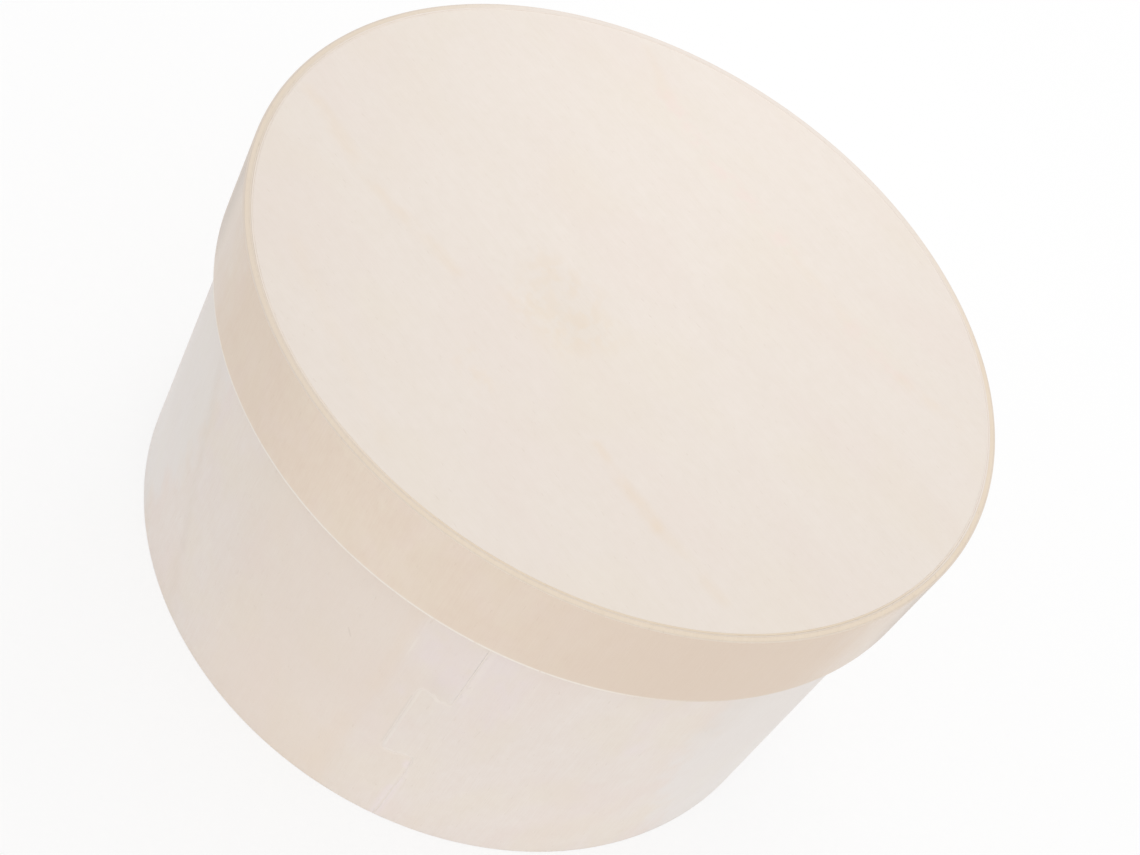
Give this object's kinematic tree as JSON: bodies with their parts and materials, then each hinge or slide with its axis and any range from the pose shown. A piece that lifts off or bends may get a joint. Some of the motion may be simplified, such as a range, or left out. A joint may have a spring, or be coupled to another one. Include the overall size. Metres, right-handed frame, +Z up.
{
  "type": "wooden cake box",
  "caption": "Round bentwood plywood cake box with a flush-disc lid that lifts off, interlocking dovetail seams and glued-in discs.",
  "frame": {"origin": "centre of the underside, on the surface that the box stands on", "axes": "+Z up through the middle of the lid, body seam towards -Y, lid seam towards +Y"},
  "size_m": [0.2, 0.2, 0.1113],
  "materials": {
    "disc_face": "bare sanded birch veneer, matt",
    "band_face": "bare bent birch veneer, warm tan, faint sheen",
    "wall_face": "bare bent birch veneer, matt",
    "core_veneer": "bare yellowish core veneer, cut edge",
    "strip_veneer": "bare thin veneer strip, matt",
    "dried_glue": "dried amber wood glue, slightly glossy"
  },
  "bodies": {
    "box": {"wall_outer_ply": "wall_face", "wall_core_ply": "core_veneer", "wall_inner_ply": "wall_face", "wall_seam_glue": "dried_glue", "wall_seam_strip": "strip_veneer", "base_disc_face_ply": "disc_face", "base_disc_core_ply": "core_veneer", "base_disc_back_ply": "disc_face", "base_glue_ring": "dried_glue"},
    "lid": {"lid_band_outer_ply": "band_face", "lid_band_core_ply": "core_veneer", "lid_band_inner_ply": "band_face", "lid_band_seam_glue": "dried_glue", "lid_band_seam_strip": "strip_veneer", "lid_disc_face_ply": "disc_face", "lid_disc_core_ply": "core_veneer", "lid_disc_back_ply": "disc_face", "lid_glue_ring": "dried_glue"}
  },
  "joints": [
    {"name": "lid_lift", "type": "slide", "parent": "box", "child": "lid", "axis": [0, 0, 1], "range_m": [0, 0.12]}
  ]
}
